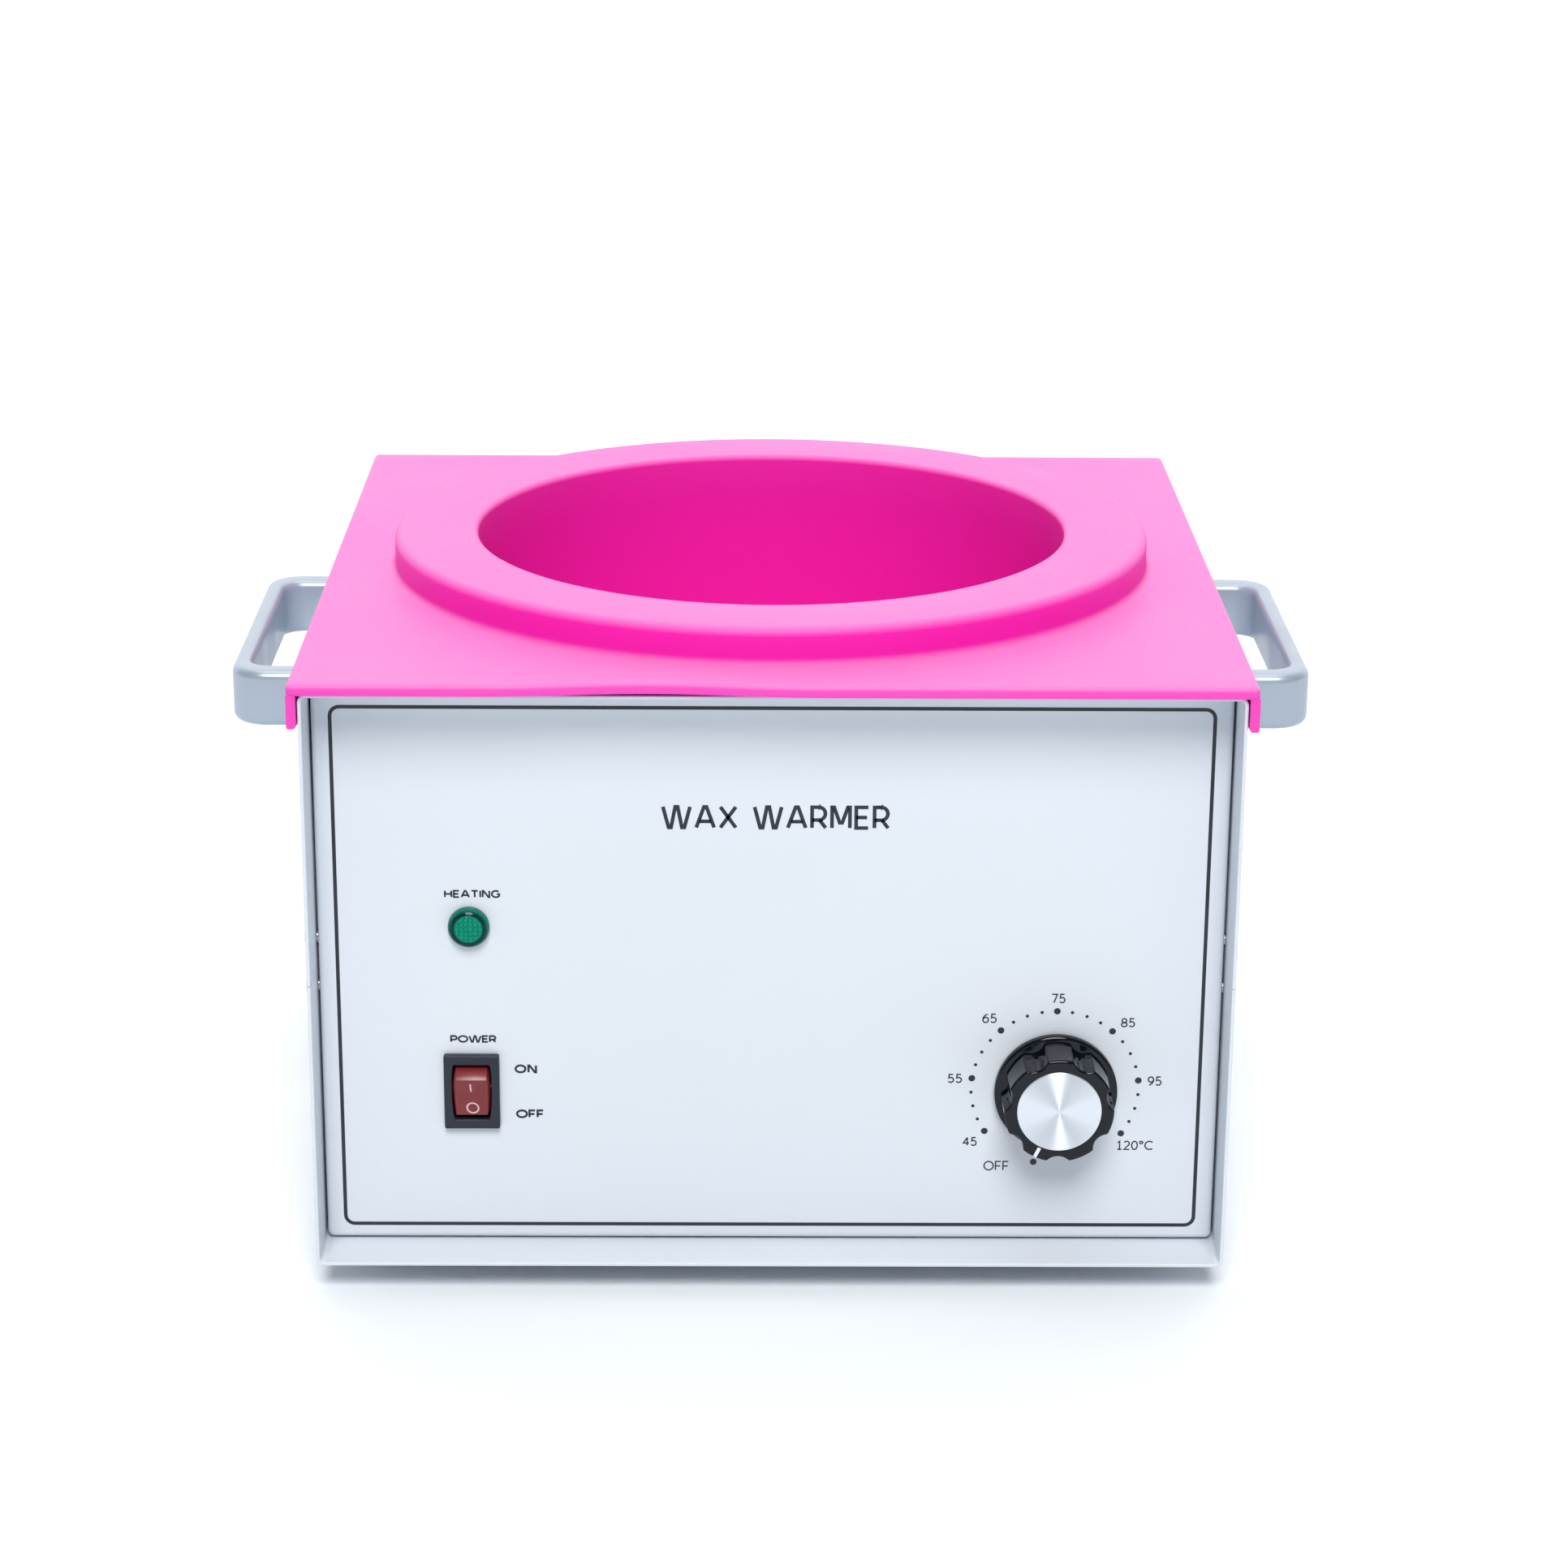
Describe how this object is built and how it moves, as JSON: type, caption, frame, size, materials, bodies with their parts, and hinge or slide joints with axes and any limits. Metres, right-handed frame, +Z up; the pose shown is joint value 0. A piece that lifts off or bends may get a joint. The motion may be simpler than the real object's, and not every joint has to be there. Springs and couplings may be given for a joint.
{
  "type": "wax warmer pot",
  "caption": "Electric wax warmer: sheet-metal box with side handles, a lift-out silicone bowl liner in a heated well, a power rocker, a pilot lamp and a dial thermostat.",
  "frame": {"origin": "under the middle of the casing, on the surface that its feet stand on", "axes": "+Z up, front panel faces -Y, +X to the right as seen from the front"},
  "size_m": [0.3014, 0.2528, 0.1833],
  "materials": {
    "white_powder_coat": "satin powder coat",
    "handle_silver": "satin silver coat",
    "pink_silicone": "matte silicone",
    "well_aluminium": "spun satin",
    "zinc_steel": "zinc plated",
    "shield_steel": "plain sheet",
    "black_rubber": "matte",
    "knob_black": "gloss",
    "cap_aluminium": "turned face",
    "mark_white": "paint filled",
    "switch_black": "satin",
    "switch_red": "translucent gloss",
    "lamp_green": "translucent gloss",
    "white_plastic": "satin",
    "neon_glass": "clear",
    "brass_plain": "plain",
    "copper_plain": "drawn copper",
    "heater_mica": "heat-stained sheet",
    "ceramic_cream": "unglazed",
    "glass_fibre": "felted fibre",
    "gasket_silicone": "matte",
    "wire_brown": "satin",
    "wire_blue": "satin",
    "wire_green": "satin",
    "wire_white": "braided glass sleeve",
    "wire_black": "satin"
  },
  "bodies": {
    "casing": {"top_cover": "white_powder_coat", "base_tray": "white_powder_coat", "front_panel": "white_powder_coat", "rear_panel": "white_powder_coat", "casing_screws": "zinc_steel", "foot_front_left": "black_rubber", "foot_front_right": "black_rubber", "foot_rear_left": "black_rubber", "foot_rear_right": "black_rubber", "foot_screws": "zinc_steel", "handle_left": "handle_silver", "handle_right": "handle_silver", "handle_screws": "zinc_steel", "handle_washers": "zinc_steel", "heating_well": "well_aluminium", "well_gasket": "gasket_silicone", "well_screws": "zinc_steel", "band_heater": "heater_mica", "heater_clamp_screw": "zinc_steel", "insulation_jacket": "glass_fibre", "insulation_pad": "glass_fibre", "heat_shield": "shield_steel", "shield_standoffs": "zinc_steel", "shield_screws": "zinc_steel", "thermostat_bulb": "copper_plain", "bulb_clip": "shield_steel", "capillary_tube": "copper_plain", "thermal_cutout": "ceramic_cream", "thermostat_body": "shield_steel", "thermostat_nut": "zinc_steel", "thermostat_tabs": "brass_plain", "lamp_lens": "lamp_green", "lamp_body": "white_plastic", "lamp_bulb": "neon_glass", "lamp_clip": "shield_steel", "switch_housing": "switch_black", "switch_terminals": "brass_plain", "inlet_housing": "switch_black", "inlet_pins": "brass_plain", "inlet_screws": "zinc_steel", "terminal_block": "ceramic_cream", "terminal_screws": "brass_plain", "earth_stud": "brass_plain", "wire_inlet_live": "wire_brown", "wire_inlet_neutral": "wire_blue", "wire_inlet_earth": "wire_green", "wire_switch": "wire_brown", "wire_thermostat": "wire_brown", "wire_heater_a": "wire_white", "wire_heater_b": "wire_white", "wire_lamp": "wire_black"},
    "knob": {"thermostat_shaft": "zinc_steel", "knob_body": "knob_black", "knob_cap": "cap_aluminium", "knob_pointer": "mark_white", "knob_set_screw": "zinc_steel"},
    "rocker": {"switch_rocker": "switch_red"},
    "liner": {"silicone_liner": "pink_silicone"}
  },
  "joints": [
    {"name": "knob_turn", "type": "hinge", "parent": "casing", "child": "knob", "pos_m": [0.0772, -0.118, 0.054], "axis": [0, 1, 0], "range_deg": [0, 280]},
    {"name": "rocker_tilt", "type": "hinge", "parent": "casing", "child": "rocker", "pos_m": [-0.08095, -0.1082, 0.0535], "axis": [-1, 0, 0], "range_deg": [0, 24]},
    {"name": "liner_lift", "type": "slide", "parent": "casing", "child": "liner", "axis": [0, 0, 1], "range_m": [0, 0.16]}
  ]
}
